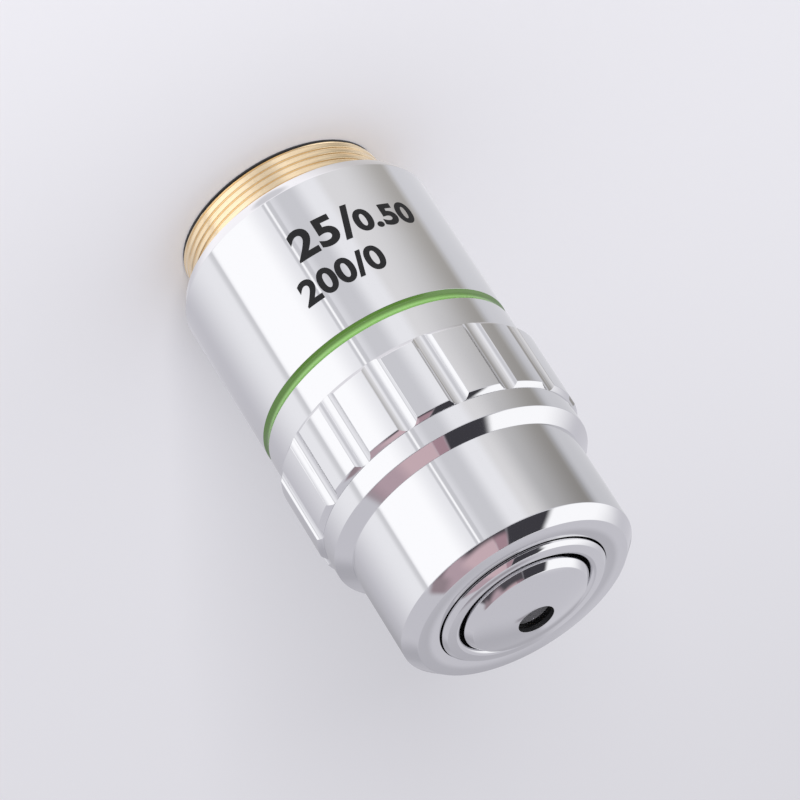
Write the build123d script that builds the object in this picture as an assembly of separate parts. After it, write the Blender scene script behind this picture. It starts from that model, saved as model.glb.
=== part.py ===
from build123d import *
import math
import os

os.makedirs("parts", exist_ok=True)

# Microscope objective, standing nose up on its threaded rear end. Z is the optical axis,
# Z = 0 is the rear face, and every size is in millimetres.

# Fits
screw_fit = 0.02  # radial gap between pieces that are screwed or pushed together
slide_fit = 0.05  # radial gap round the lens unit where it slides
seat_gap = 0.02  # axial gap where a face rests on another
glass_fit = 0.02  # gap between a lens and its cell, and the cement between two lenses

# Mount collar with the standard objective thread, 20.32 mm over its crests
thread_radius = 10.16
thread_reach = 4.3  # rear face to shoulder
thread_chamfer = 0.25
relief_length = 0.6  # plain neck between the last thread and the shoulder
relief_depth = 0.76
collar_wall = 1.4
collar_depth = 4.5  # how far the collar goes into the barrel

# Black baffle that closes the rear edge of the collar
baffle_step = 0.16  # the flange is this much smaller than the thread
baffle_lip = 1.0
baffle_flange = 0.2
baffle_depth = 2.0

# Barrel
barrel_radius = 12.5
barrel_length = 20.7  # shoulder to the seam at the grip
shoulder_chamfer = 0.68
shoulder_chamfer_length = 1.2
seam_step = 1.2  # barrel down to the spigot that carries the grip and the sleeve
spigot_wall = 1.3
shelf_thickness = 1.4
shelf_width = 2.0
band_from_seam = 3.1  # front edge of the colour band, measured back from the seam
band_width = 1.1
band_depth = 0.5
band_hollow = 0.28  # how far the enamel dips below the barrel

# Fluted grip ring
grip_step = 0.67  # how far the lands stand out from the barrel
grip_length = 7.86
grip_rear_step = 0.5  # the rear edge is turned down by this much
grip_rear_chamfer = 0.57
grip_front_chamfer = 0.42
flute_count = 16
flute_radius = 1.35
flute_depth = 0.46
flute_phase = 1.5  # degrees from +X to the middle of a flute

# Front sleeve: a collar behind and a narrower nose in front
sleeve_collar_step = 0.26  # how far its collar stands out from the barrel
sleeve_collar_length = 2.16
sleeve_collar_chamfer = 0.98
nose_wall = 3.07
nose_length = 9.2
nose_chamfer = 1.06
nose_chamfer_length = 1.11
socket_depth = 1.7
mouth_gap = 0.26  # dark ring round the lens barrel
mouth_depth = 4.0

# Sliding lens unit
unit_travel = 2.0
spring_room = 1.8  # between the lens barrel and the barrel's bore
lens_barrel_wall = 1.6
unit_proud = 0.68  # rim of the lens barrel in front of the sleeve's face
rim_chamfer = 0.53
rim_chamfer_length = 0.56
rim_slope = 0.13
rim_gap = 0.3  # dark ring round the front cell
rim_bore_depth = 1.8
front_ledge = 0.38  # step that stops the stack of cells
front_bore_depth = 5.2

# Rings screwed on the lens barrel
parfocal_length = 4.55
lock_length = 2.0
lock_step = 0.25  # the lock ring is this much smaller than the parfocal ring
spanner_width = 1.6
spanner_depth = 0.8

# Guide screw, which keeps the lens unit from turning
screw_radius = 0.8
screw_tip_radius = 0.6
screw_tip_reach = 0.55
screw_sink = 0.1  # head below the grip's bore
driver_slot_width = 0.25
driver_slot_depth = 0.4
guide_slot_depth = 0.65
guide_slot_margin = 0.3

# Spring and its seat
seat_thickness = 0.5
seat_hole_gap = 0.4
spring_wire = 0.9
spring_turns = 6.5
spring_wire_sides = 8  # the wire is drawn eight-sided, which keeps the long coil light

# Front cell and lens
cell_base_reach = 0.64  # top of the cell's straight side in front of the sleeve's face
cell_edge_step = 0.49
cell_edge_rise = 0.62
dome_radius = 13.8
front_hole_radius = 1.77
front_lens_radius = 2.5
front_lens_edge = 0.8
front_lens_height = 1.3
front_lens_sink = 0.6
cell_wall = 1.7
cell_throat_length = 3.0
front_cell_foot = 0.3

# Lens cells behind it, from front to rear
second_cell_length = 4.6
spacer_a_length = 1.8
doublet_cell_length = 5.2
spacer_b_length = 3.0
stop_thickness = 0.4
stop_width = 3.48
spacer_c_length = 1.6
rear_cell_length = 4.2
retainer_length = 1.1
retainer_width = 1.38
spacer_wall = 1.2
second_cell_wall = 2.58
doublet_cell_wall = 1.58
rear_cell_wall = 1.78
seat_width = 0.4  # how far a cell's seat covers the edge of its lens
cell_rim = 0.6  # bare pocket wall behind a lens

# Lens forms: edge thicknesses, and how far the middle of each face lies in front of its edge
second_lens_edge = 1.6
second_front_height = 0.9
doublet_a_flint_edge = 1.5
doublet_a_crown_edge = 1.1
doublet_a_rear_height = 0.35
doublet_a_joint_height = 1.1
doublet_a_front_height = 1.2
doublet_b_flint_edge = 1.4
doublet_b_crown_edge = 1.1
doublet_b_rear_height = -0.3
doublet_b_joint_height = 1.0
doublet_b_front_height = 0.9
rear_doublet_flint_edge = 1.6
rear_doublet_crown_edge = 0.7
rear_doublet_rear_height = 0.4
rear_doublet_joint_height = -0.6
rear_doublet_front_height = 0.4

# Radii of the mount
neck_radius = thread_radius - relief_depth
collar_bore_radius = neck_radius - collar_wall
baffle_radius = thread_radius - baffle_step
baffle_hole_radius = collar_bore_radius - baffle_lip

# Radii from the barrel inwards
grip_radius = barrel_radius + grip_step
sleeve_collar_radius = barrel_radius + sleeve_collar_step
spigot_radius = barrel_radius - seam_step
socket_radius = spigot_radius + screw_fit
barrel_bore_radius = spigot_radius - spigot_wall
shelf_hole_radius = barrel_bore_radius - shelf_width
unit_guide_radius = barrel_bore_radius - slide_fit
lock_radius = unit_guide_radius - lock_step
lens_barrel_radius = barrel_bore_radius - spring_room
nose_guide_radius = lens_barrel_radius + slide_fit
mouth_radius = lens_barrel_radius + mouth_gap
nose_radius = mouth_radius + nose_wall
ring_bore_radius = lens_barrel_radius + screw_fit
seat_hole_radius = lens_barrel_radius + seat_hole_gap
spring_radius = (lens_barrel_radius + barrel_bore_radius) / 2
stack_bore_radius = lens_barrel_radius - lens_barrel_wall
cell_radius = stack_bore_radius - screw_fit
front_bore_radius = stack_bore_radius - front_ledge
front_cell_radius = front_bore_radius - screw_fit
rim_bore_radius = front_bore_radius + rim_gap
cell_edge_radius = front_cell_radius - cell_edge_step
cell_throat_radius = front_cell_radius - cell_wall
stop_hole_radius = cell_radius - stop_width
retainer_hole_radius = cell_radius - retainer_width
second_lens_radius = cell_radius - second_cell_wall
doublet_lens_radius = cell_radius - doublet_cell_wall
rear_lens_radius = cell_radius - rear_cell_wall

# Places along the axis
shoulder_z = thread_reach
seam_z = shoulder_z + barrel_length
grip_front_z = seam_z + grip_length
sleeve_collar_front_z = grip_front_z + sleeve_collar_length
nose_rear_z = sleeve_collar_front_z + sleeve_collar_chamfer
nose_front_z = nose_rear_z + nose_length
face_z = nose_front_z + nose_chamfer_length
socket_z = grip_front_z + socket_depth
collar_front_z = shoulder_z + collar_depth
shelf_z = collar_front_z + seat_gap
spring_seat_z = shelf_z + shelf_thickness
spring_rear_z = spring_seat_z + seat_thickness
parfocal_front_z = socket_z - seat_gap
parfocal_rear_z = parfocal_front_z - parfocal_length
lock_rear_z = parfocal_rear_z - lock_length
rim_z = face_z + unit_proud
rim_bore_z = rim_z - rim_bore_depth
stack_front_z = rim_bore_z - front_bore_depth
band_front_z = seam_z - band_from_seam
band_rear_z = band_front_z - band_width

# The guide screw stands just clear of the rear end of its slot while the unit is out
guide_slot_front_z = parfocal_front_z - guide_slot_margin
guide_slot_half_width = screw_tip_radius + slide_fit
guide_slot_rear_z = guide_slot_front_z - unit_travel - 2 * guide_slot_half_width
guide_screw_z = guide_slot_rear_z + guide_slot_half_width

# The stack of cells fills the lens barrel's bore, from its front step back to the retaining ring
second_cell_z = stack_front_z - seat_gap - second_cell_length
spacer_a_z = second_cell_z - spacer_a_length
doublet_a_z = spacer_a_z - doublet_cell_length
spacer_b_z = doublet_a_z - spacer_b_length
stop_z = spacer_b_z - stop_thickness
doublet_b_z = stop_z - doublet_cell_length
spacer_c_z = doublet_b_z - spacer_c_length
rear_cell_z = spacer_c_z - rear_cell_length
retainer_front_z = rear_cell_z
lens_barrel_rear_z = retainer_front_z - retainer_length


def turned(*outline):
    # a piece turned on the lathe: the outline is (radius, height) round the closed section
    return revolve(Plane.XZ * make_face(Polyline(*outline, close=True)), Axis.Z)


def ring(outer, inner, rear, front):
    return turned((inner, rear), (outer, rear), (outer, front), (inner, front))


def rod(radius, rear, front):
    return Pos(0, 0, rear) * Cylinder(radius, front - rear, align=(Align.CENTER, Align.CENTER, Align.MIN))


def curve_radius(height, edge_radius):
    return (edge_radius**2 + height**2) / (2 * abs(height))


def sag(radius, reach):
    return radius - math.sqrt(radius**2 - reach**2)


def rise(height, edge_radius, reach):
    # height of a lens face over its edge, at the given distance from the axis
    if height == 0:
        return 0
    return height - math.copysign(sag(curve_radius(height, edge_radius), reach), height)


def lens_face(height, edge_radius, edge_z):
    vertex = (0, edge_z + height)
    if height == 0:
        return Line((edge_radius, edge_z), vertex)
    half = edge_radius / 2
    return ThreePointArc((edge_radius, edge_z), (half, edge_z + rise(height, edge_radius, half)), vertex)


def lens(radius, rear_z, front_z, rear_height, front_height):
    # heights are positive towards the nose, so a hollow rear face has a positive one
    section = [
        lens_face(rear_height, radius, rear_z),
        Line((radius, rear_z), (radius, front_z)),
        lens_face(front_height, radius, front_z),
        Line((0, front_z + front_height), (0, rear_z + rear_height)),
    ]
    return revolve(Plane.XZ * make_face(section), Axis.Z)


def lens_cell(rear_z, length, lens_radius, lens_front_z, front_height):
    # the lens lies in from the rear, its front face against the inner edge of the seat
    clear = lens_radius - seat_width
    pocket = lens_radius + glass_fit
    seat_z = lens_front_z + max(rise(front_height, lens_radius, clear), 0) + glass_fit
    front_z = rear_z + length
    return turned(
        (pocket, rear_z),
        (cell_radius, rear_z),
        (cell_radius, front_z),
        (clear, front_z),
        (clear, seat_z),
        (pocket, seat_z),
    )


def doublet(radius, rear_z, flint_edge, crown_edge, rear_height, joint_height, front_height):
    # a flint behind and a crown in front, cemented along one curve
    joint_z = rear_z + flint_edge
    crown_z = joint_z + glass_fit
    flint = lens(radius, rear_z, joint_z, rear_height, joint_height)
    crown = lens(radius, crown_z, crown_z + crown_edge, joint_height, front_height)
    return flint, crown, crown_z + crown_edge


def rear_baffle():
    flange = ring(baffle_radius, baffle_hole_radius, 0, baffle_flange)
    tube_radius = collar_bore_radius - screw_fit
    return flange + ring(tube_radius, baffle_hole_radius, 0, baffle_flange + baffle_depth)


def mount_collar():
    rear = baffle_flange
    return turned(
        (collar_bore_radius, rear),
        (thread_radius - thread_chamfer, rear),
        (thread_radius, rear + thread_chamfer),
        (thread_radius, shoulder_z - relief_length),
        (neck_radius, shoulder_z - relief_length),
        (neck_radius, collar_front_z),
        (collar_bore_radius, collar_front_z),
    )


def barrel():
    groove_radius = barrel_radius - band_depth
    neck_bore = neck_radius + screw_fit
    body = turned(
        (neck_bore, shoulder_z),
        (barrel_radius - shoulder_chamfer, shoulder_z),
        (barrel_radius, shoulder_z + shoulder_chamfer_length),
        (barrel_radius, band_rear_z),
        (groove_radius, band_rear_z),
        (groove_radius, band_front_z),
        (barrel_radius, band_front_z),
        (barrel_radius, seam_z),
        (spigot_radius, seam_z),
        (spigot_radius, socket_z - seat_gap),
        (barrel_bore_radius, socket_z - seat_gap),
        (barrel_bore_radius, spring_seat_z),
        (shelf_hole_radius, spring_seat_z),
        (shelf_hole_radius, shelf_z),
        (neck_bore, shelf_z),
    )
    return body - across(screw_radius + screw_fit, lens_barrel_radius, barrel_radius)


def across(radius, near, far):
    # a round bar on the guide screw's own axis, along +Y
    place = Plane(origin=(0, near, guide_screw_z), z_dir=(0, 1, 0))
    return place * Cylinder(radius, far - near, align=(Align.CENTER, Align.CENTER, Align.MIN))


def colour_band():
    floor = barrel_radius - band_depth + screw_fit
    middle = (band_rear_z + band_front_z) / 2
    hollow = ThreePointArc(
        (barrel_radius, band_rear_z),
        (barrel_radius - band_hollow, middle),
        (barrel_radius, band_front_z),
    )
    back = Polyline(
        (barrel_radius, band_front_z),
        (floor, band_front_z),
        (floor, band_rear_z),
        (barrel_radius, band_rear_z),
    )
    return revolve(Plane.XZ * make_face([hollow, back]), Axis.Z)


def grip_ring():
    body = turned(
        (socket_radius, seam_z),
        (grip_radius - grip_rear_step, seam_z),
        (grip_radius, seam_z + grip_rear_chamfer),
        (grip_radius, grip_front_z - grip_front_chamfer),
        (grip_radius - grip_front_chamfer, grip_front_z),
        (socket_radius, grip_front_z),
    )
    cutter = rod(flute_radius, seam_z - grip_length, grip_front_z + grip_length)
    reach = grip_radius - flute_depth + flute_radius
    turns = [flute_phase + 360 / flute_count * count for count in range(flute_count)]
    return body - [Rot(0, 0, turn) * Pos(reach, 0, 0) * cutter for turn in turns]


def front_sleeve():
    return turned(
        (socket_radius, grip_front_z),
        (sleeve_collar_radius, grip_front_z),
        (sleeve_collar_radius, sleeve_collar_front_z),
        (nose_radius, nose_rear_z),
        (nose_radius, nose_front_z),
        (nose_radius - nose_chamfer, face_z),
        (mouth_radius, face_z),
        (mouth_radius, face_z - mouth_depth),
        (nose_guide_radius, face_z - mouth_depth),
        (nose_guide_radius, socket_z),
        (socket_radius, socket_z),
    )


def guide_screw():
    head = spigot_radius - screw_sink
    body = across(screw_radius, barrel_bore_radius, head)
    tip = across(screw_tip_radius, barrel_bore_radius - screw_tip_reach, barrel_bore_radius)
    slot = Pos(0, head, guide_screw_z) * Box(driver_slot_width, 2 * driver_slot_depth, 4 * screw_radius)
    return body + tip - slot


def spring_seat():
    return ring(barrel_bore_radius - screw_fit, seat_hole_radius, spring_seat_z, spring_rear_z)


def return_spring():
    # wound past both ends, then ground flat on its seat and under the lock ring
    length = lock_rear_z - seat_gap - spring_rear_z
    path = Helix(pitch=length / spring_turns, height=length, radius=spring_radius)
    section = Plane(origin=path @ 0, z_dir=path % 0) * RegularPolygon(spring_wire / 2, spring_wire_sides)
    wire = sweep(section, path=path, is_frenet=True)
    room = 3 * spring_radius
    ground = Box(room, room, length, align=(Align.CENTER, Align.CENTER, Align.MIN))
    return Pos(0, 0, spring_rear_z) * (wire & ground)


def lens_barrel():
    return turned(
        (stack_bore_radius, lens_barrel_rear_z),
        (lens_barrel_radius, lens_barrel_rear_z),
        (lens_barrel_radius, rim_z - rim_slope - rim_chamfer_length),
        (lens_barrel_radius - rim_chamfer, rim_z - rim_slope),
        (rim_bore_radius, rim_z),
        (rim_bore_radius, rim_bore_z),
        (front_bore_radius, rim_bore_z),
        (front_bore_radius, stack_front_z),
        (stack_bore_radius, stack_front_z),
    )


def parfocal_ring():
    body = ring(unit_guide_radius, ring_bore_radius, parfocal_rear_z, parfocal_front_z)
    floor = barrel_bore_radius - guide_slot_depth
    middle = (guide_slot_rear_z + guide_slot_front_z) / 2
    straight = guide_slot_front_z - guide_slot_rear_z - 2 * guide_slot_half_width
    place = Plane(origin=(0, floor, middle), x_dir=(0, 0, 1), z_dir=(0, 1, 0))
    slot = SlotCenterToCenter(straight, 2 * guide_slot_half_width)
    return body - extrude(place * slot, amount=2 * guide_slot_depth)


def spanner_slots(radius, rear_z):
    # two slots across the rear face, for a pin spanner
    return Pos(0, 0, rear_z) * Box(3 * radius, spanner_width, 2 * spanner_depth)


def parfocal_lock_ring():
    body = ring(lock_radius, ring_bore_radius, lock_rear_z, parfocal_rear_z)
    return body - spanner_slots(lock_radius, lock_rear_z)


def retaining_ring():
    body = ring(cell_radius, retainer_hole_radius, lens_barrel_rear_z, retainer_front_z)
    return body - spanner_slots(cell_radius, lens_barrel_rear_z - spanner_depth / 2)


def spacer(rear_z, length):
    return ring(cell_radius, cell_radius - spacer_wall, rear_z, rear_z + length)


def front_cell():
    base_z = face_z + cell_base_reach
    edge_z = base_z + cell_edge_rise
    top_z = edge_z + sag(dome_radius, cell_edge_radius)
    half = (cell_edge_radius + front_hole_radius) / 2
    dome = ThreePointArc(
        (cell_edge_radius, edge_z),
        (half, top_z - sag(dome_radius, half)),
        (front_hole_radius, top_z - sag(dome_radius, front_hole_radius)),
    )
    seat_z = top_z - front_lens_sink
    pocket_radius = front_lens_radius + glass_fit
    pocket_z = seat_z - front_lens_edge
    foot_z = stack_front_z + front_cell_foot
    rest = Polyline(
        (front_hole_radius, top_z - sag(dome_radius, front_hole_radius)),
        (front_hole_radius, seat_z),
        (pocket_radius, seat_z),
        (pocket_radius, pocket_z),
        (cell_throat_radius, pocket_z - cell_throat_length),
        (cell_throat_radius, foot_z),
        (front_cell_radius, foot_z),
        (front_cell_radius, base_z),
        (cell_edge_radius, edge_z),
    )
    cell = revolve(Plane.XZ * make_face([dome, rest]), Axis.Z)
    front = seat_z - glass_fit
    return cell, lens(front_lens_radius, front - front_lens_edge, front, -front_lens_height, 0)


front_cell_solid, front_lens_solid = front_cell()
second_lens_z = second_cell_z + cell_rim
second_front_z = second_lens_z + second_lens_edge
doublet_a_flint, doublet_a_crown, doublet_a_front_z = doublet(
    doublet_lens_radius,
    doublet_a_z + cell_rim,
    doublet_a_flint_edge,
    doublet_a_crown_edge,
    doublet_a_rear_height,
    doublet_a_joint_height,
    doublet_a_front_height,
)
doublet_b_flint, doublet_b_crown, doublet_b_front_z = doublet(
    doublet_lens_radius,
    doublet_b_z + cell_rim,
    doublet_b_flint_edge,
    doublet_b_crown_edge,
    doublet_b_rear_height,
    doublet_b_joint_height,
    doublet_b_front_height,
)
rear_flint, rear_crown, rear_front_z = doublet(
    rear_lens_radius,
    rear_cell_z + cell_rim,
    rear_doublet_flint_edge,
    rear_doublet_crown_edge,
    rear_doublet_rear_height,
    rear_doublet_joint_height,
    rear_doublet_front_height,
)


def second_cell():
    length = second_cell_length
    return lens_cell(second_cell_z, length, second_lens_radius, second_front_z, second_front_height)


def doublet_cell(rear_z, front_z, front_height):
    return lens_cell(rear_z, doublet_cell_length, doublet_lens_radius, front_z, front_height)


def rear_cell():
    height = rear_doublet_front_height
    return lens_cell(rear_cell_z, rear_cell_length, rear_lens_radius, rear_front_z, height)


nodes = {
    "rear_baffle": rear_baffle(),
    "mount_collar": mount_collar(),
    "barrel": barrel(),
    "colour_band": colour_band(),
    "grip_ring": grip_ring(),
    "front_sleeve": front_sleeve(),
    "guide_screw": guide_screw(),
    "spring_seat": spring_seat(),
    "return_spring": return_spring(),
    "lens_barrel": lens_barrel(),
    "parfocal_ring": parfocal_ring(),
    "parfocal_lock_ring": parfocal_lock_ring(),
    "front_cell": front_cell_solid,
    "front_lens": front_lens_solid,
    "second_cell": second_cell(),
    "second_lens": lens(second_lens_radius, second_lens_z, second_front_z, 0, second_front_height),
    "spacer_a": spacer(spacer_a_z, spacer_a_length),
    "doublet_a_cell": doublet_cell(doublet_a_z, doublet_a_front_z, doublet_a_front_height),
    "doublet_a_flint": doublet_a_flint,
    "doublet_a_crown": doublet_a_crown,
    "spacer_b": spacer(spacer_b_z, spacer_b_length),
    "aperture_stop": ring(cell_radius, stop_hole_radius, stop_z, spacer_b_z),
    "doublet_b_cell": doublet_cell(doublet_b_z, doublet_b_front_z, doublet_b_front_height),
    "doublet_b_flint": doublet_b_flint,
    "doublet_b_crown": doublet_b_crown,
    "spacer_c": spacer(spacer_c_z, spacer_c_length),
    "rear_cell": rear_cell(),
    "rear_flint": rear_flint,
    "rear_crown": rear_crown,
    "retaining_ring": retaining_ring(),
}

for name, shape in nodes.items():
    export_step(shape, f"parts/{name}.step")
    print(name, round(shape.volume, 2))
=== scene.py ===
import math

import bmesh
import bpy
from mathutils import Matrix, Vector


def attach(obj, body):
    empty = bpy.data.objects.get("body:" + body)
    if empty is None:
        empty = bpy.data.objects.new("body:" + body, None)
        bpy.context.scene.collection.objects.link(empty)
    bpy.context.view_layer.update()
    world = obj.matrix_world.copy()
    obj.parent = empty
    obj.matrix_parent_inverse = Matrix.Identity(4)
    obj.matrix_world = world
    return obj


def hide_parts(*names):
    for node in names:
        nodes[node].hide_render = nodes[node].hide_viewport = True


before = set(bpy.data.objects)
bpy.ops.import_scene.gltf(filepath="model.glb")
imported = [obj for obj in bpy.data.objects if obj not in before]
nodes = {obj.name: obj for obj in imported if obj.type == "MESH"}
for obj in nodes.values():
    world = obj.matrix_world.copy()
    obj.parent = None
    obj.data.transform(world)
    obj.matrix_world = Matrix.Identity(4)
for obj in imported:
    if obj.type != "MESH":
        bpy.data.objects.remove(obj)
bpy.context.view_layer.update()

mm = 0.001
fullTurn = 2 * math.pi
mergeGap = 0.0005 * mm  # vertices closer than this are one
pickGap = 0.01  # mm, added where faces are picked by their place


# small tools

def linear(hexColour):
    # an sRGB hex colour as Blender's linear values
    values = [int(hexColour[place:place + 2], 16) / 255 for place in (0, 2, 4)]
    return [v / 12.92 if v <= 0.04045 else ((v + 0.055) / 1.055) ** 2.4 for v in values] + [1]


def addNode(tree, kind, inputs=None, **settings):
    # one node with its settings; an input is a value or another node's socket
    node = tree.nodes.new("ShaderNode" + kind)
    for name, value in settings.items():
        setattr(node, name, value)
    for key, value in (inputs or {}).items():
        if isinstance(value, bpy.types.NodeSocket):
            tree.links.new(value, node.inputs[key])
        else:
            node.inputs[key].default_value = value
    return node


def newMaterial(name):
    material = bpy.data.materials.new(name)
    material.use_nodes = True
    tree = material.node_tree
    return material, tree, tree.nodes["Principled BSDF"]


def turnedCoordinates(tree):
    # (distance from the axis, 0, height) in metres: a pattern on it runs round the axis in rings
    place = addNode(tree, "SeparateXYZ", {0: addNode(tree, "TexCoord").outputs["Object"]})
    flat = addNode(tree, "CombineXYZ", {"X": place.outputs["X"], "Y": place.outputs["Y"]})
    radius = addNode(tree, "VectorMath", {0: flat.outputs[0]}, operation="LENGTH")
    section = addNode(tree, "CombineXYZ", {"X": radius.outputs["Value"], "Z": place.outputs["Z"]})
    return section.outputs[0]


def meshPiece(name, bm, sharpAngle=35):
    # bmesh to a smooth shaded object whose broad faces keep their own normals
    mesh = bpy.data.meshes.new(name)
    bm.to_mesh(mesh)
    bm.free()
    mesh.shade_smooth()
    mesh.set_sharp_from_angle(angle=math.radians(sharpAngle))
    piece = bpy.data.objects.new(name, mesh)
    bpy.context.scene.collection.objects.link(piece)
    weighted = piece.modifiers.new("weightedNormals", "WEIGHTED_NORMAL")
    weighted.keep_sharp = True
    return piece


latheSizes = {"wideRounding": 0.2, "wideSteps": 24}


def turnOnLathe(name, corners, steps=256, roundSteps=4):
    # corners are (radius, height, rounding) in mm round the closed section, spun about the axis;
    # a wide rounding gets more segments
    bm = bmesh.new()
    verts = [bm.verts.new((corner[0] * mm, 0, corner[1] * mm)) for corner in corners]
    bm.faces.new(verts)
    for rounding in sorted({corner[2] for corner in corners if len(corner) > 2}):
        chosen = [v for v, corner in zip(verts, corners) if len(corner) > 2 and corner[2] == rounding]
        segments = latheSizes["wideSteps"] if rounding > latheSizes["wideRounding"] else roundSteps
        bmesh.ops.bevel(bm, geom=chosen, offset=rounding * mm, offset_type="OFFSET", affect="VERTICES",
                        segments=segments, profile=0.5, material=-1)
    bmesh.ops.delete(bm, geom=bm.faces[:], context="FACES_ONLY")
    bmesh.ops.spin(bm, geom=bm.verts[:] + bm.edges[:], cent=(0, 0, 0), axis=(0, 0, 1),
                   angle=fullTurn, steps=steps, use_merge=True)
    bmesh.ops.remove_doubles(bm, verts=bm.verts[:], dist=mergeGap)
    bmesh.ops.recalc_face_normals(bm, faces=bm.faces[:])
    return meshPiece(name, bm)


def cutAway(piece, cutter, sharpAngle=30):
    # an exact boolean, applied, after which the cutter goes
    boolean = piece.modifiers.new("cut", "BOOLEAN")
    boolean.operation = "DIFFERENCE"
    boolean.solver = "EXACT"
    boolean.object = cutter
    piece.modifiers.move(len(piece.modifiers) - 1, 0)
    piece.modifiers["weightedNormals"].show_viewport = False
    bpy.context.view_layer.update()
    depsgraph = bpy.context.evaluated_depsgraph_get()
    piece.data = bpy.data.meshes.new_from_object(piece.evaluated_get(depsgraph))
    piece.modifiers.remove(piece.modifiers["cut"])
    piece.modifiers["weightedNormals"].show_viewport = True
    piece.data.shade_smooth()
    piece.data.set_sharp_from_angle(angle=math.radians(sharpAngle))
    bpy.data.objects.remove(cutter)


def blacken(piece, hidden, lean=0.2):
    # chrome outside, and the black inner finish on the faces that hidden() picks by their radius,
    # height and whether they face the axis
    piece.data.materials.append(chrome)
    piece.data.materials.append(black)
    for face in piece.data.polygons:
        flat = face.center.xy
        inward = face.normal.xy.dot(flat) < -lean * flat.length
        if hidden(flat.length / mm, face.center.z / mm, inward):
            face.material_index = 1


def fitPiece(piece, material, body, slot, *replaced):
    if material:
        piece.data.materials.append(material)
    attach(piece, body)
    if replaced:
        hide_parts(*replaced)


# materials

def chromePlate():
    # bright chrome plate over finely turned brass: nearly a mirror, softened a little, with
    # the faint rings of the tool running round it
    material, tree, shader = newMaterial("chromePlate")
    ringPitch = 0.09  # mm; real tool marks are about 0.03 mm, too fine to show here
    rings = addNode(tree, "TexNoise", {"Vector": turnedCoordinates(tree), "Scale": 1 / (ringPitch * mm),
                                       "Detail": 2.0, "Roughness": 0.6})
    haze = addNode(tree, "TexNoise", {"Vector": addNode(tree, "TexCoord").outputs["Object"],
                                      "Scale": 1 / (2.5 * mm), "Detail": 3.0})
    roughness = addNode(tree, "MapRange", {"Value": haze.outputs["Fac"], "From Min": 0.3,
                                           "From Max": 0.7, "To Min": 0.035, "To Max": 0.06})
    bump = addNode(tree, "Bump", {"Height": rings.outputs["Fac"], "Strength": 0.12,
                                  "Distance": 0.002 * mm})
    shader.inputs["Base Color"].default_value = linear("DCDCDE")
    shader.inputs["Metallic"].default_value = 1
    tree.links.new(roughness.outputs["Result"], shader.inputs["Roughness"])
    tree.links.new(bump.outputs["Normal"], shader.inputs["Normal"])
    return material


def threadBrass():
    # bright cut brass: warm pale gold, uneven where it has tarnished, and duller than the chrome
    material, tree, shader = newMaterial("threadBrass")
    tarnish = addNode(tree, "TexNoise", {"Vector": addNode(tree, "TexCoord").outputs["Object"],
                                         "Scale": 1 / (1.8 * mm), "Detail": 4.0})
    tint = addNode(tree, "Mix", {"Factor": tarnish.outputs["Fac"], "A": linear("EED5AD"),
                                 "B": linear("F8E3C1")}, data_type="RGBA")
    tree.links.new(tint.outputs["Result"], shader.inputs["Base Color"])
    chatter = addNode(tree, "TexNoise", {"Vector": turnedCoordinates(tree), "Scale": 1 / (0.06 * mm)})
    bump = addNode(tree, "Bump", {"Height": chatter.outputs["Fac"], "Strength": 0.2,
                                  "Distance": 0.003 * mm})
    tree.links.new(bump.outputs["Normal"], shader.inputs["Normal"])
    shader.inputs["Metallic"].default_value = 1
    shader.inputs["Roughness"].default_value = 0.17
    return material


def plainTurnedBrass():
    # uncoated brass of the inner cells, dulled by handling
    material, tree, shader = newMaterial("turnedBrass")
    rings = addNode(tree, "TexNoise", {"Vector": turnedCoordinates(tree), "Scale": 1 / (0.08 * mm)})
    tint = addNode(tree, "Mix", {"Factor": rings.outputs["Fac"], "A": linear("B5935A"),
                                 "B": linear("D0AE72")}, data_type="RGBA")
    bump = addNode(tree, "Bump", {"Height": rings.outputs["Fac"], "Strength": 0.3,
                                  "Distance": 0.004 * mm})
    tree.links.new(tint.outputs["Result"], shader.inputs["Base Color"])
    tree.links.new(bump.outputs["Normal"], shader.inputs["Normal"])
    shader.inputs["Metallic"].default_value = 1
    shader.inputs["Roughness"].default_value = 0.28
    return material


def blackAnodised():
    # matt black anodising, which swallows stray light: near black with a soft grey sheen
    material, tree, shader = newMaterial("blackAnodised")
    grain = addNode(tree, "TexNoise", {"Vector": addNode(tree, "TexCoord").outputs["Object"],
                                       "Scale": 1 / (0.05 * mm), "Detail": 2.0})
    tint = addNode(tree, "Mix", {"Factor": grain.outputs["Fac"], "A": linear("141416"),
                                 "B": linear("222225")}, data_type="RGBA")
    bump = addNode(tree, "Bump", {"Height": grain.outputs["Fac"], "Strength": 0.2,
                                  "Distance": 0.004 * mm})
    tree.links.new(tint.outputs["Result"], shader.inputs["Base Color"])
    tree.links.new(bump.outputs["Normal"], shader.inputs["Normal"])
    shader.inputs["Roughness"].default_value = 0.45
    return material


def greenEnamel():
    # glossy leaf green enamel run into a groove, with painted shade: dark along the rear edge and
    # light along the front one, as light falls across the dished groove
    material, tree, shader = newMaterial("greenEnamel")
    paintedShadeHeight, paintedLightHeight = 21.12, 21.5  # mm, the heights between which it turns from dark to light
    height = addNode(tree, "SeparateXYZ", {0: addNode(tree, "TexCoord").outputs["Object"]}).outputs["Z"]
    # painted shade: the colour ramps by height from a shaded dark green to a lit light green
    paintedShadeRamp = addNode(tree, "MapRange", {"Value": height, "From Min": paintedShadeHeight * mm,
                                      "From Max": paintedLightHeight * mm}, interpolation_type="SMOOTHSTEP")
    tint = addNode(tree, "Mix", {"Factor": paintedShadeRamp.outputs["Result"], "A": linear("527632"),
                                 "B": linear("87B964")}, data_type="RGBA")
    tree.links.new(tint.outputs["Result"], shader.inputs["Base Color"])
    shader.inputs["Roughness"].default_value = 0.18
    shader.inputs["IOR"].default_value = 1.5
    shader.inputs["Coat Weight"].default_value = 0.3
    shader.inputs["Coat Roughness"].default_value = 0.05
    return material


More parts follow.
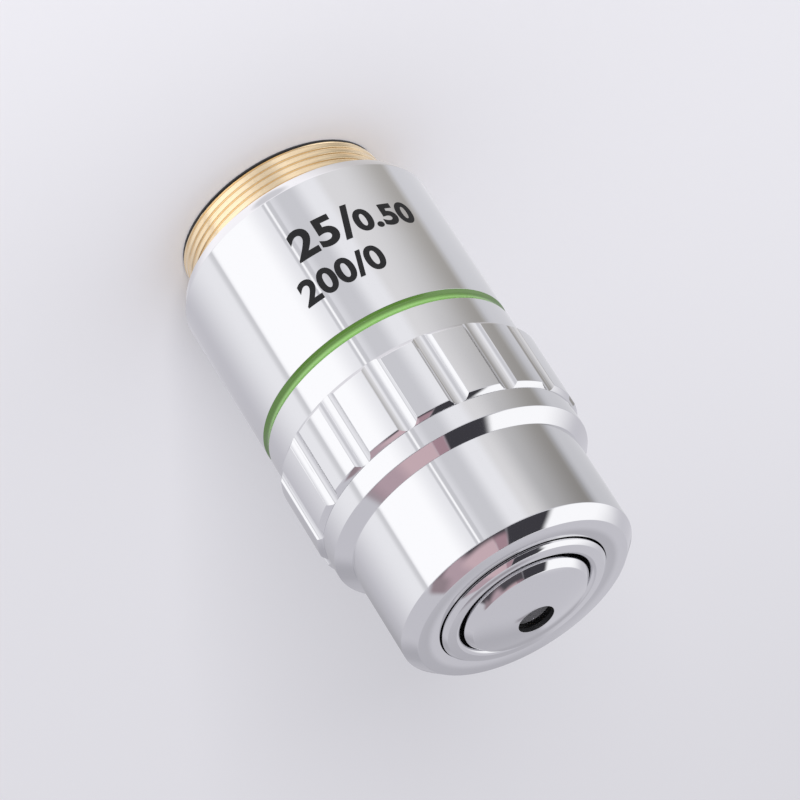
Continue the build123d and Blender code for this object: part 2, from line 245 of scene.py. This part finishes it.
def engravingBlack():
    # black paint wiped into the engraving: satin, not quite level
    material, tree, shader = newMaterial("engravingBlack")
    flow = addNode(tree, "TexNoise", {"Vector": addNode(tree, "TexCoord").outputs["Object"],
                                      "Scale": 1 / (0.25 * mm), "Detail": 2.0})
    tint = addNode(tree, "Mix", {"Factor": flow.outputs["Fac"], "A": linear("0C0C0D"),
                                 "B": linear("1A1A1C")}, data_type="RGBA")
    bump = addNode(tree, "Bump", {"Height": flow.outputs["Fac"], "Strength": 0.3,
                                  "Distance": 0.01 * mm})
    tree.links.new(tint.outputs["Result"], shader.inputs["Base Color"])
    tree.links.new(bump.outputs["Normal"], shader.inputs["Normal"])
    shader.inputs["Roughness"].default_value = 0.5
    shader.inputs["Specular IOR Level"].default_value = 0.3
    return material


def turnedSteel():
    # plain screw steel: cool grey with close tool rings
    material, tree, shader = newMaterial("turnedSteel")
    rings = addNode(tree, "TexNoise", {"Vector": turnedCoordinates(tree), "Scale": 1 / (0.07 * mm)})
    roughness = addNode(tree, "MapRange", {"Value": rings.outputs["Fac"], "To Min": 0.22,
                                           "To Max": 0.38})
    bump = addNode(tree, "Bump", {"Height": rings.outputs["Fac"], "Strength": 0.3,
                                  "Distance": 0.003 * mm})
    shader.inputs["Base Color"].default_value = linear("B4B5B8")
    shader.inputs["Metallic"].default_value = 1
    tree.links.new(roughness.outputs["Result"], shader.inputs["Roughness"])
    tree.links.new(bump.outputs["Normal"], shader.inputs["Normal"])
    return material


def drawnSpringWire():
    # drawn spring wire: bright steel with a slight straw tint from its heat treatment
    material, tree, shader = newMaterial("springWire")
    heat = addNode(tree, "TexNoise", {"Vector": addNode(tree, "TexCoord").outputs["Object"],
                                      "Scale": 1 / (3 * mm), "Detail": 3.0})
    tint = addNode(tree, "Mix", {"Factor": heat.outputs["Fac"], "A": linear("A9A6A0"),
                                 "B": linear("BDBBB8")}, data_type="RGBA")
    tree.links.new(tint.outputs["Result"], shader.inputs["Base Color"])
    shader.inputs["Metallic"].default_value = 1
    shader.inputs["Roughness"].default_value = 0.25
    return material


def coatedGlass():
    # polished lens glass, faintly violet, with a coating that takes most of its reflection away
    material, tree, shader = newMaterial("coatedGlass")
    film = addNode(tree, "TexNoise", {"Vector": addNode(tree, "TexCoord").outputs["Object"],
                                      "Scale": 1 / (1.5 * mm), "Detail": 1.0})
    roughness = addNode(tree, "MapRange", {"Value": film.outputs["Fac"], "To Min": 0.01, "To Max": 0.03})
    tree.links.new(roughness.outputs["Result"], shader.inputs["Roughness"])
    shader.inputs["Base Color"].default_value = linear("C6C0CE")
    shader.inputs["Transmission Weight"].default_value = 1
    shader.inputs["IOR"].default_value = 1.52
    shader.inputs["Specular IOR Level"].default_value = 0.15
    return material


chrome = chromePlate()
brassThread = threadBrass()
cellBrass = plainTurnedBrass()
black = blackAnodised()
enamel = greenEnamel()
engraving = engravingBlack()
steel = turnedSteel()
springWire = drawnSpringWire()
glass = coatedGlass()
print("materials made")


# housing; sizes are radii, heights and widths in mm, unless a note says otherwise

barrelSizes = {
    "radius": 12.5, "spigot": 11.3, "bore": 10.0, "neckBore": 9.42, "shelfHole": 8.0,
    "shoulder": 4.3, "shoulderRadius": 11.82, "shoulderFront": 5.5, "seam": 25.0, "front": 34.54,
    "shelfRear": 8.82, "shelfFront": 10.22, "grooveRear": 20.8, "grooveFront": 21.9, "grooveFloor": 12.0,
    "edge": 0.05, "seamEdge": 0.08, "grooveEdge": 0.03, "screwHole": 0.82, "screwHeight": 29.66,
    "drillDepth": 4,
}


def makeBarrel(s):
    barrel = turnOnLathe("barrelShell", [
        (s["neckBore"], s["shoulder"]),
        (s["shoulderRadius"], s["shoulder"], s["edge"]),
        (s["radius"], s["shoulderFront"], s["edge"]),
        (s["radius"], s["grooveRear"], s["grooveEdge"]),
        (s["grooveFloor"], s["grooveRear"]),
        (s["grooveFloor"], s["grooveFront"]),
        (s["radius"], s["grooveFront"], s["grooveEdge"]),
        (s["radius"], s["seam"], s["seamEdge"]),
        (s["spigot"], s["seam"]),
        (s["spigot"], s["front"], s["edge"]),
        (s["bore"], s["front"]),
        (s["bore"], s["shelfFront"]),
        (s["shelfHole"], s["shelfFront"]),
        (s["shelfHole"], s["shelfRear"]),
        (s["neckBore"], s["shelfRear"]),
    ], steps=320)
    drill = bmesh.new()
    place = Matrix.Translation((0, s["spigot"] * mm, s["screwHeight"] * mm))
    place = place @ Matrix.Rotation(fullTurn / 4, 4, "X")
    bmesh.ops.create_cone(drill, cap_ends=True, segments=32, radius1=s["screwHole"] * mm,
                          radius2=s["screwHole"] * mm, depth=s["drillDepth"] * mm, matrix=place)
    cutAway(barrel, meshPiece("screwDrill", drill))
    return barrel


fitPiece(makeBarrel(barrelSizes), chrome, "housing", "satin_chrome", "barrel")

threadSizes = {
    "crest": 10.16, "root": 9.98, "pitch": 0.7056, "crestFlat": 0.34, "rootFlat": 0.2, "round": 0.03,
    "rear": 0.2, "front": 3.7, "chamfer": 0.25, "neck": 9.4, "collarFront": 8.8, "bore": 8.0,
    "steps": 192, "turns": 8, "lead": 1.7,  # pitches wound behind the rear end, then trimmed
}


def makeThread(s):
    # one ridge is wound up as a screw, trimmed at both ends, and closed down to its bore
    bm = bmesh.new()
    halfPitch = s["pitch"] / 2
    ridge = [
        (s["root"], -halfPitch),
        (s["root"], s["rootFlat"] / 2 - halfPitch),
        (s["crest"], -s["crestFlat"] / 2),
        (s["crest"], s["crestFlat"] / 2),
        (s["root"], halfPitch - s["rootFlat"] / 2),
        (s["root"], halfPitch),
    ]
    start = s["rear"] - s["lead"] * s["pitch"]
    verts = [bm.verts.new((radius * mm, 0, (start + height) * mm)) for radius, height in ridge]
    for lower, upper in zip(verts, verts[1:]):
        bm.edges.new((lower, upper))
    bmesh.ops.bevel(bm, geom=verts[1:5], offset=s["round"] * mm, offset_type="OFFSET", affect="VERTICES",
                    segments=6, profile=0.5, material=-1)
    bmesh.ops.spin(bm, geom=bm.verts[:] + bm.edges[:], cent=(0, 0, 0), axis=(0, 0, 1),
                   dvec=(0, 0, s["pitch"] / s["steps"] * mm), angle=fullTurn * s["turns"],
                   steps=s["steps"] * s["turns"])
    bmesh.ops.remove_doubles(bm, verts=bm.verts[:], dist=mergeGap)
    for height, side in ((s["rear"], -1), (s["front"], 1)):
        bmesh.ops.bisect_plane(bm, geom=bm.verts[:] + bm.edges[:] + bm.faces[:], dist=1e-8,
                               plane_co=(0, 0, height * mm), plane_no=(0, 0, side), clear_outer=True)
    for v in bm.verts:  # the chamfer at the rear end
        radius = math.hypot(v.co.x, v.co.y)
        allowed = (s["crest"] - s["chamfer"]) * mm + v.co.z - s["rear"] * mm
        if radius > allowed:
            v.co.x *= allowed / radius
            v.co.y *= allowed / radius

    def drawOut(edges, radius, height):
        # extrude an open end to a new radius and height
        grown = bmesh.ops.extrude_edge_only(bm, edges=edges)["geom"]
        for v in (item for item in grown if isinstance(item, bmesh.types.BMVert)):
            spread = radius * mm / math.hypot(v.co.x, v.co.y)
            v.co = Vector((v.co.x * spread, v.co.y * spread, height * mm))
        return [item for item in grown if isinstance(item, bmesh.types.BMEdge) and item.is_boundary]

    middle = (s["rear"] + s["front"]) / 2 * mm
    openEdges = [edge for edge in bm.edges if edge.is_boundary]
    rearEdges = [edge for edge in openEdges if edge.verts[0].co.z < middle]
    frontEdges = [edge for edge in openEdges if edge.verts[0].co.z > middle]
    rearEdges = drawOut(rearEdges, s["bore"], s["rear"])
    frontEdges = drawOut(frontEdges, s["neck"], s["front"])
    frontEdges = drawOut(frontEdges, s["neck"], s["collarFront"])
    frontEdges = drawOut(frontEdges, s["bore"], s["collarFront"])
    bmesh.ops.bridge_loops(bm, edges=rearEdges + frontEdges)
    bmesh.ops.recalc_face_normals(bm, faces=bm.faces[:])
    return meshPiece("mountThread", bm)


fitPiece(makeThread(threadSizes), brassThread, "housing", "brass", "mount_collar")

baffleSizes = {
    "flange": 10.0, "tube": 7.98, "hole": 7.0, "flangeFront": 0.2, "tubeFront": 2.2, "edge": 0.05,
}


def makeBaffle(s):
    return turnOnLathe("rearBaffle", [
        (s["hole"], 0, s["edge"]),
        (s["flange"], 0, s["edge"]),
        (s["flange"], s["flangeFront"], s["edge"]),
        (s["tube"], s["flangeFront"]),
        (s["tube"], s["tubeFront"]),
        (s["hole"], s["tubeFront"]),
    ])


fitPiece(makeBaffle(baffleSizes), black, "housing", "blackened_metal", "rear_baffle")

bandSizes = {"rim": 12.49, "middle": 12.04, "back": 12.01, "dish": 0.5}


def makeBand(s):
    # the corner in the middle is rounded almost to both rims, which dishes the enamel
    rear, front = barrelSizes["grooveRear"], barrelSizes["grooveFront"]
    return turnOnLathe("bandEnamel", [
        (s["rim"], rear),
        (s["middle"], (rear + front) / 2, s["dish"]),
        (s["rim"], front),
        (s["back"], front),
        (s["back"], rear),
    ], steps=320)


fitPiece(makeBand(bandSizes), enamel, "housing", "green_enamel", "colour_band")

gripSizes = {  # the first flute's place is in degrees
    "bore": 11.32, "land": 13.17, "rear": 25.0, "rearRadius": 12.67, "rearChamfer": 0.57, "front": 32.86,
    "frontChamfer": 0.42, "flutes": 16, "scoop": 1.35, "depth": 0.46, "firstFlute": 1.5, "edge": 0.04,
    "cutterLength": 12,
}


def makeGrip(s):
    grip = turnOnLathe("flutedGrip", [
        (s["bore"], s["rear"]),
        (s["rearRadius"], s["rear"], s["edge"]),
        (s["land"], s["rear"] + s["rearChamfer"], s["edge"]),
        (s["land"], s["front"] - s["frontChamfer"], s["edge"]),
        (s["land"] - s["frontChamfer"], s["front"], s["edge"]),
        (s["bore"], s["front"]),
    ], steps=480, roundSteps=3)
    scoops = bmesh.new()
    reach = s["land"] - s["depth"] + s["scoop"]
    for count in range(s["flutes"]):
        turn = Matrix.Rotation(math.radians(s["firstFlute"]) + fullTurn / s["flutes"] * count, 4, "Z")
        place = turn @ Matrix.Translation((reach * mm, 0, (s["rear"] + s["front"]) / 2 * mm))
        bmesh.ops.create_cone(scoops, cap_ends=True, segments=120, radius1=s["scoop"] * mm,
                              radius2=s["scoop"] * mm, depth=s["cutterLength"] * mm, matrix=place)
    cutAway(grip, meshPiece("fluteCutters", scoops))
    return grip


fitPiece(makeGrip(gripSizes), chrome, "housing", "satin_chrome", "grip_ring")

# a face whose middle is less than brightLip behind the front stays chrome: the rounded lip
sleeveSizes = {
    "socket": 11.32, "socketFront": 34.56, "rear": 32.86, "collar": 12.76, "collarFront": 35.02,
    "nose": 11.53, "noseRear": 36.0, "noseFront": 45.2, "face": 46.31, "faceRadius": 10.47,
    "mouth": 8.33, "mouthFloor": 42.31, "guide": 8.25, "edge": 0.05, "fineEdge": 0.03, "brightLip": 0.4,
}


def makeSleeve(s):
    sleeve = turnOnLathe("frontSleeve", [
        (s["socket"], s["rear"]),
        (s["collar"], s["rear"], s["edge"]),
        (s["collar"], s["collarFront"], s["edge"]),
        (s["nose"], s["noseRear"], s["fineEdge"]),
        (s["nose"], s["noseFront"], s["edge"]),
        (s["faceRadius"], s["face"], s["edge"]),
        (s["mouth"], s["face"], s["fineEdge"]),
        (s["mouth"], s["mouthFloor"]),
        (s["guide"], s["mouthFloor"]),
        (s["guide"], s["socketFront"]),
        (s["socket"], s["socketFront"]),
    ], steps=320)
    blacken(sleeve, lambda radius, height, inward: (
        radius < s["mouth"] + pickGap and height < s["face"] - s["brightLip"]))
    return sleeve


fitPiece(makeSleeve(sleeveSizes), None, "housing", "satin_chrome", "front_sleeve")
print("housing made")


# sliding lens unit

tubeSizes = {
    "radius": 8.2, "bore": 6.6, "rear": 12.87, "rimRear": 46.54, "chamferRadius": 7.82,
    "chamferFront": 46.86, "rimBore": 6.5, "rim": 46.99, "rimRound": 0.55, "rimFloor": 45.19,
    "frontBore": 6.3, "stackFront": 39.99, "edge": 0.04, "rimEdge": 0.015, "brightLip": 0.4,
}


def makeTube(s):
    tube = turnOnLathe("lensBarrel", [
        (s["bore"], s["rear"]),
        (s["radius"], s["rear"], s["edge"]),
        (s["radius"], s["rimRear"], s["rimEdge"]),
        (s["chamferRadius"], s["chamferFront"], s["edge"]),
        (s["rimBore"], s["rim"], s["rimRound"]),
        (s["rimBore"], s["rimFloor"]),
        (s["frontBore"], s["rimFloor"]),
        (s["frontBore"], s["stackFront"]),
        (s["bore"], s["stackFront"]),
    ])
    blacken(tube, lambda radius, height, inward: (
        radius < s["rimBore"] + pickGap and height < s["rim"] - s["brightLip"]))
    return tube


fitPiece(makeTube(tubeSizes), None, "lens_unit", "satin_chrome", "lens_barrel")

cellSizes = {
    "radius": 6.23, "foot": 40.29, "baseTop": 46.95, "edgeRadius": 5.71, "edgeTop": 47.57,
    "domeRadius": 3.824, "domeTop": 48.424, "domeRound": 2.05, "hole": 1.77, "holeTop": 48.692,
    "seat": 48.206, "pocket": 2.52, "pocketFloor": 47.406, "throat": 4.5, "throatTop": 44.406,
    "edge": 0.04, "fineEdge": 0.03,
}


def makeCell(s):
    # the corner over the middle of the dome is rounded into its whole shallow curve, and the
    # opening's wall and the inside are black
    cell = turnOnLathe("frontCell", [
        (s["hole"], s["holeTop"], s["fineEdge"]),
        (s["hole"], s["seat"]),
        (s["pocket"], s["seat"]),
        (s["pocket"], s["pocketFloor"]),
        (s["throat"], s["throatTop"]),
        (s["throat"], s["foot"]),
        (s["radius"], s["foot"]),
        (s["radius"], s["baseTop"], s["edge"]),
        (s["edgeRadius"], s["edgeTop"], s["fineEdge"]),
        (s["domeRadius"], s["domeTop"], s["domeRound"]),
    ])
    blacken(cell, lambda radius, height, inward: radius < s["hole"] + pickGap or (
        height < s["seat"] + pickGap and (inward or radius < s["pocket"])))
    return cell


fitPiece(makeCell(cellSizes), None, "lens_unit", "satin_chrome", "front_cell")
print("lens unit made")


# numerals engraved in the barrel and filled with black: generic figures, tops to the thread end

# "from" and "to" are degrees about the axis, "base" and "top" heights in mm
numeralLines = {
    "apertureMain": {"text": "25", "from": 273.5, "to": 253, "base": 12.8, "top": 9.5, "bold": 0.032},
    "apertureSlash": {"text": "/", "from": 252.3, "to": 244.3, "base": 12.95, "top": 9.35,
                      "bold": 0.025},
    "apertureSmall": {"text": "0.50", "from": 245.3, "to": 216.5, "base": 12.8, "top": 10.25,
                      "bold": 0.042},
    "tubeLength": {"text": "200/0", "from": 280.5, "to": 242, "base": 17.05, "top": 14.3, "bold": 0.034},
}
numeralSizes = {"stand": 0.006, "sink": 0.02, "step": 0.25, "spacing": 1.05}


def makeNumerals(name, line, s):
    curve = bpy.data.curves.new(name, "FONT")
    curve.body = line["text"]
    curve.offset = line["bold"]
    curve.space_character = s["spacing"]
    curve.resolution_u = 8
    flat = bpy.data.objects.new(name, curve)
    bpy.context.scene.collection.objects.link(flat)
    bpy.context.view_layer.update()
    mesh = bpy.data.meshes.new_from_object(flat.evaluated_get(bpy.context.evaluated_depsgraph_get()))
    bpy.data.objects.remove(flat)
    bm = bmesh.new()
    bm.from_mesh(mesh)
    bmesh.ops.remove_doubles(bm, verts=bm.verts[:], dist=1e-5)
    lows = [min(v.co[axis] for v in bm.verts) for axis in (0, 1)]
    highs = [max(v.co[axis] for v in bm.verts) for axis in (0, 1)]
    radius = barrelSizes["radius"]
    width = math.radians(line["from"] - line["to"]) * radius
    height = line["base"] - line["top"]
    bmesh.ops.translate(bm, verts=bm.verts[:], vec=(-lows[0], -lows[1], 0))
    stretch = (width / (highs[0] - lows[0]), height / (highs[1] - lows[1]), 1)
    bmesh.ops.scale(bm, verts=bm.verts[:], vec=stretch)
    for count in range(1, int(width / s["step"]) + 1):  # cross cuts let the flat faces bend
        bmesh.ops.bisect_plane(bm, geom=bm.verts[:] + bm.edges[:] + bm.faces[:], dist=1e-6,
                               plane_co=(count * s["step"], 0, 0), plane_no=(1, 0, 0))
    grown = bmesh.ops.extrude_face_region(bm, geom=bm.faces[:])["geom"]
    raised = [item for item in grown if isinstance(item, bmesh.types.BMVert)]
    bmesh.ops.translate(bm, verts=raised, vec=(0, 0, s["stand"] + s["sink"]))
    for v in bm.verts:
        angle = math.radians(line["from"]) - v.co.x / radius
        reach = radius - s["sink"] + v.co.z
        v.co = Vector((reach * math.cos(angle), reach * math.sin(angle), line["base"] - v.co.y)) * mm
    bmesh.ops.recalc_face_normals(bm, faces=bm.faces[:])
    return meshPiece(name, bm)


for name, line in numeralLines.items():
    fitPiece(makeNumerals(name, line, numeralSizes), engraving, "housing", "blackened_metal")
print("numerals made")


# CAD nodes carried over: only their finish is new

carriedOver = {
    steel: ["guide_screw", "spring_seat"],
    springWire: ["return_spring"],
    cellBrass: ["parfocal_ring", "parfocal_lock_ring", "second_cell", "doublet_a_cell", "doublet_b_cell",
                "rear_cell"],
    black: ["aperture_stop", "spacer_a", "spacer_b", "spacer_c", "retaining_ring"],
    glass: ["front_lens", "second_lens", "doublet_a_flint", "doublet_a_crown", "doublet_b_flint",
            "doublet_b_crown", "rear_flint", "rear_crown"],
}
for material, names in carriedOver.items():
    for name in names:
        nodes[name].data.materials.clear()
        nodes[name].data.materials.append(material)
print("inner pieces given their finish")


# stage and light

# the floor is in metres, the rest in mm; its colour is painted darker away from the light, along "away":
# a painted light falloff
stageSizes = {
    "floor": 3.0, "clear": 0.02, "nearColour": "EFEEF3", "farColour": "E6E5EA", "near": -45, "far": 75,
    "away": (1, 0.5, 0),
}


def makeFloor(s):
    bm = bmesh.new()
    bmesh.ops.create_grid(bm, x_segments=1, y_segments=1, size=s["floor"],
                          matrix=Matrix.Translation((0, 0, -s["clear"] * mm)))
    mesh = bpy.data.meshes.new("floor")
    bm.to_mesh(mesh)
    bm.free()
    floor = bpy.data.objects.new("floor", mesh)
    bpy.context.scene.collection.objects.link(floor)
    material, tree, shader = newMaterial("floorPaintedFalloff")
    # painted light falloff: the floor's colour turns from nearColour to farColour along "away"
    depth = addNode(tree, "VectorMath", {0: addNode(tree, "TexCoord").outputs["Object"], 1: s["away"]},
                    operation="DOT_PRODUCT").outputs["Value"]
    paintedFalloff = addNode(tree, "MapRange", {"Value": depth, "From Min": s["near"] * mm,
                                         "From Max": s["far"] * mm}, interpolation_type="SMOOTHSTEP")
    tint = addNode(tree, "Mix", {"Factor": paintedFalloff.outputs["Result"], "A": linear(s["nearColour"]),
                                 "B": linear(s["farColour"])}, data_type="RGBA")
    tree.links.new(tint.outputs["Result"], shader.inputs["Base Color"])
    shader.inputs["Roughness"].default_value = 1
    shader.inputs["Specular IOR Level"].default_value = 0
    mesh.materials.append(material)
    floor.visible_glossy = False  # the metal reflects the light tent alone


makeFloor(stageSizes)

# The light tent as the metal sees it. Each panel spans (from, to) in degrees round the object
# and (from, to) in height, with how softly each of those edges fades. A tone is the grey that
# the panel gives the chrome, and cover is how much of it a thin panel gives.
# Only reflections see the tent: the rest of the light is one plain tone.
tentSizes = {
    "chromeTone": "DCDCDE", "lowTone": "E4E4E7", "highTone": "BDBCC2", "split": (-25, -20),
    "plainTone": "F4F4F6", "plainStrength": 0.84,
}
lowZone = {"height": (-90, -18), "soft": (1, 8)}
veilZone = {"height": (-28, -18), "soft": (7, 8), "tone": "242426"}
allRound = {"round": (-180, 180), "fade": (1, 1)}
tentPanels = {
    # low zone, which the upright walls reflect
    "lowBackShade": {**lowZone, "round": (92, 160), "fade": (6, 10), "tone": "CACACE"},
    "lowMiddle": {**lowZone, "round": (160, 228), "fade": (10, 10), "tone": "D6D5D6"},
    "lowDarkEdge": {**lowZone, "round": (156.5, 186), "fade": (12, 50), "tone": "A6A39F"},
    "lowSeamShade": {**lowZone, "round": (247, 279), "fade": (14, 2), "tone": "C6C6CA"},
    "lowSeamGlow": {**lowZone, "round": (267, 271.5), "fade": (8, 1), "tone": "D6D6DA"},
    "lowSeamEdge": {**lowZone, "round": (271.5, 279), "fade": (1, 2), "tone": "C3C3C7"},
    "lowSeam": {**lowZone, "round": (275, 276.8), "fade": (1, 1), "tone": "FAFAFB"},
    "lowWhite": {**lowZone, "round": (290, 337.5), "fade": (22, 5), "tone": "FBFBFC"},
    "lowGreyLine": {**lowZone, "round": (338.5, 343.5), "fade": (2, 6), "tone": "C9C9CC"},
    "lowFarShade": {**lowZone, "round": (18, 92), "fade": (56, 6), "tone": "BAB9BF"},
    # thin veils over its upper part, which darken the nose more than the barrel
    "veilEdge": {**veilZone, "round": (150, 212), "fade": (14, 24), "cover": 0.48},
    "veilBack": {**veilZone, "round": (92, 150), "fade": (6, 14), "cover": 0.18},
    "veilFar": {**veilZone, "round": (55, 92), "fade": (50, 6), "cover": 0.5},
    # straight down, which the shoulder's chamfer reflects
    "floorWhite": {**allRound, "height": (-91, -52), "soft": (1, 24), "tone": "F3F1F4"},
    "floorBackShade": {"round": (88, 166), "fade": (8, 20), "height": (-66, -32), "soft": (30, 4),
                       "tone": "BDBABA"},
    "floorShade": {**allRound, "height": (-91, -83), "soft": (1, 5), "tone": "C9C8CC"},
    # high zone, which the chamfers and the front faces reflect
    "farShade": {"round": (62, 90), "fade": (20, 3), "height": (-21, 34), "soft": (2, 30),
                 "tone": "A9A8AE"},
    "farCorner": {"round": (46, 66), "fade": (20, 10), "height": (-16, 18), "soft": (10, 12),
                  "tone": "A3A2A8"},
    "grazingShade": {"round": (80, 98), "fade": (8, 8), "height": (-24, -2), "soft": (2, 12),
                     "tone": "9C9BA1"},
    "highWhite": {"round": (137, 204), "fade": (36, 8), "height": (6, 90), "soft": (22, 1),
                  "tone": "F8F8F9"},
    "darkCard": {"round": (197, 245), "fade": (9, 5), "height": (30, 90), "soft": (16, 1),
                 "tone": "3A393E"},
    "darkCardTop": {"round": (186, 231), "fade": (8, 6), "height": (57, 90), "soft": (8, 1),
                    "tone": "3A393E"},
    "lowerDarkCard": {"round": (245, 340), "fade": (5, 8), "height": (14, 60), "soft": (14, 5),
                      "tone": "48454A"},
    "pinkFar": {"round": (300, 349), "fade": (20, 9), "height": (47, 90), "soft": (7, 1),
                "tone": "AC979F"},
    "pinkDeep": {"round": (245, 262), "fade": (5, 4), "height": (56, 90), "soft": (6, 1),
                 "tone": "9E828B"},
    "pink": {"round": (262, 312), "fade": (4, 20), "height": (56, 90), "soft": (6, 1), "tone": "C1A8AE"},
    "mauve": {"round": (332, 352), "fade": (12, 8), "height": (42, 54), "soft": (5, 8),
              "tone": "8E7F85"},
    # round the camera, which the upright strip inside the first ring reflects by way of the face
    "stripGlow": {"round": (190, 346), "fade": (10, 10), "height": (17, 33), "soft": (6, 6),
                  "tone": "DEDDE1"},
    "rimShade": {"round": (80, 93), "fade": (5, 5), "height": (37.5, 41.5), "soft": (3, 3),
                 "tone": "949096"},
}


def makeTent(s, panels, backColour):
    world = bpy.data.worlds.new("lightTent")
    bpy.context.scene.world = world
    world.use_nodes = True
    tree = world.node_tree
    tree.nodes.clear()
    direction = addNode(tree, "SeparateXYZ", {0: addNode(tree, "TexCoord").outputs["Generated"]})
    turned = addNode(tree, "Math", {0: direction.outputs["Y"], 1: direction.outputs["X"]},
                     operation="ARCTAN2")
    around = addNode(tree, "Math", {0: turned.outputs[0]}, operation="DEGREES").outputs[0]
    raised = addNode(tree, "Math", {0: direction.outputs["Z"]}, operation="ARCSINE")
    height = addNode(tree, "Math", {0: raised.outputs[0]}, operation="DEGREES").outputs[0]
    zone = addNode(tree, "MapRange", {"Value": height, "From Min": s["split"][0],
                                      "From Max": s["split"][1]}, interpolation_type="SMOOTHSTEP")
    tone = addNode(tree, "Mix", {"Factor": zone.outputs["Result"], "A": linear(s["lowTone"]),
                                 "B": linear(s["highTone"])}, data_type="RGBA").outputs["Result"]
    for panel in panels.values():
        first, last = panel["round"]
        middle = (first + last) / 2
        half = (last - first) / 2
        wrapped = addNode(tree, "Math", {0: around, 1: middle + 180, 2: middle - 180}, operation="WRAP")
        offset = addNode(tree, "Math", {0: wrapped.outputs[0], 1: middle},
                         operation="SUBTRACT").outputs[0]
        mask = panel.get("cover", 1)
        for value, start, end, fades in ((offset, -half, half, panel["fade"]),
                                         (height, *panel["height"], panel["soft"])):
            rise = addNode(tree, "MapRange", {"Value": value, "From Min": start - fades[0] / 2,
                                              "From Max": start + fades[0] / 2},
                           interpolation_type="SMOOTHSTEP")
            fall = addNode(tree, "MapRange", {"Value": value, "From Min": end - fades[1] / 2,
                                              "From Max": end + fades[1] / 2, "To Min": 1, "To Max": 0},
                           interpolation_type="SMOOTHSTEP")
            part = addNode(tree, "Math", {0: rise.outputs[0], 1: fall.outputs[0]}, operation="MULTIPLY")
            mask = addNode(tree, "Math", {0: mask, 1: part.outputs[0]}, operation="MULTIPLY").outputs[0]
        tone = addNode(tree, "Mix", {"Factor": mask, "A": tone, "B": linear(panel["tone"])},
                       data_type="RGBA").outputs["Result"]
    rays = addNode(tree, "LightPath")
    tent = addNode(tree, "Background", {"Color": tone, "Strength": 1 / linear(s["chromeTone"])[0]})
    plain = addNode(tree, "Background", {"Color": linear(s["plainTone"]), "Strength": s["plainStrength"]})
    back = addNode(tree, "Background", {"Color": linear(backColour), "Strength": 1})
    lit = addNode(tree, "MixShader", {0: rays.outputs["Is Glossy Ray"], 1: plain.outputs[0],
                                      2: tent.outputs[0]})
    seen = addNode(tree, "Math", {0: rays.outputs["Is Camera Ray"],
                                  1: rays.outputs["Is Transmission Ray"]}, operation="MAXIMUM")
    full = addNode(tree, "MixShader", {0: seen.outputs[0], 1: lit.outputs[0], 2: back.outputs[0]})
    addNode(tree, "OutputWorld", {"Surface": full.outputs[0]})


makeTent(tentSizes, tentPanels, stageSizes["farColour"])

softboxes = {  # in metres and watts
    "softboxFront": {"place": (-0.1, -0.706, 0.32), "aim": (0, 0, 0.025), "size": 0.2, "power": 3.3},
}


def makeSoftboxes(boxes):
    for name, box in boxes.items():
        lamp = bpy.data.lights.new(name, "AREA")
        lamp.shape = "SQUARE"
        lamp.size = box["size"]
        lamp.energy = box["power"]
        softbox = bpy.data.objects.new(name, lamp)
        bpy.context.scene.collection.objects.link(softbox)
        aim = Vector(box["aim"]) - Vector(box["place"])
        turn = aim.to_track_quat("-Z", "Y").to_matrix().to_4x4()
        softbox.matrix_world = Matrix.Translation(box["place"]) @ turn
        softbox.visible_glossy = False


makeSoftboxes(softboxes)

photoView = {  # mm and degrees, and how far the camera sees in metres
    "back": 430.017, "height": 256.089, "elevation": 30.35, "roll": 212.35, "pan": 1.030, "tilt": 1.583,
    "lens": 245.3, "sensor": 36, "reach": 20,
}


def makeCamera(s):
    camera = bpy.data.cameras.new("photoCamera")
    camera.lens = s["lens"]
    camera.sensor_width = s["sensor"]
    camera.clip_end = s["reach"]
    view = bpy.data.objects.new("photoCamera", camera)
    bpy.context.scene.collection.objects.link(view)
    turns = [("X", 90 - s["elevation"]), ("Z", -s["roll"]), ("Y", -s["pan"]), ("X", -s["tilt"])]
    matrix = Matrix.Translation((0, -s["back"] * mm, s["height"] * mm))
    for axis, angle in turns:
        matrix = matrix @ Matrix.Rotation(math.radians(angle), 4, axis)
    view.matrix_world = matrix
    bpy.context.scene.camera = view


makeCamera(photoView)
bpy.context.scene.view_settings.view_transform = "Standard"
print("stage, light and camera made")
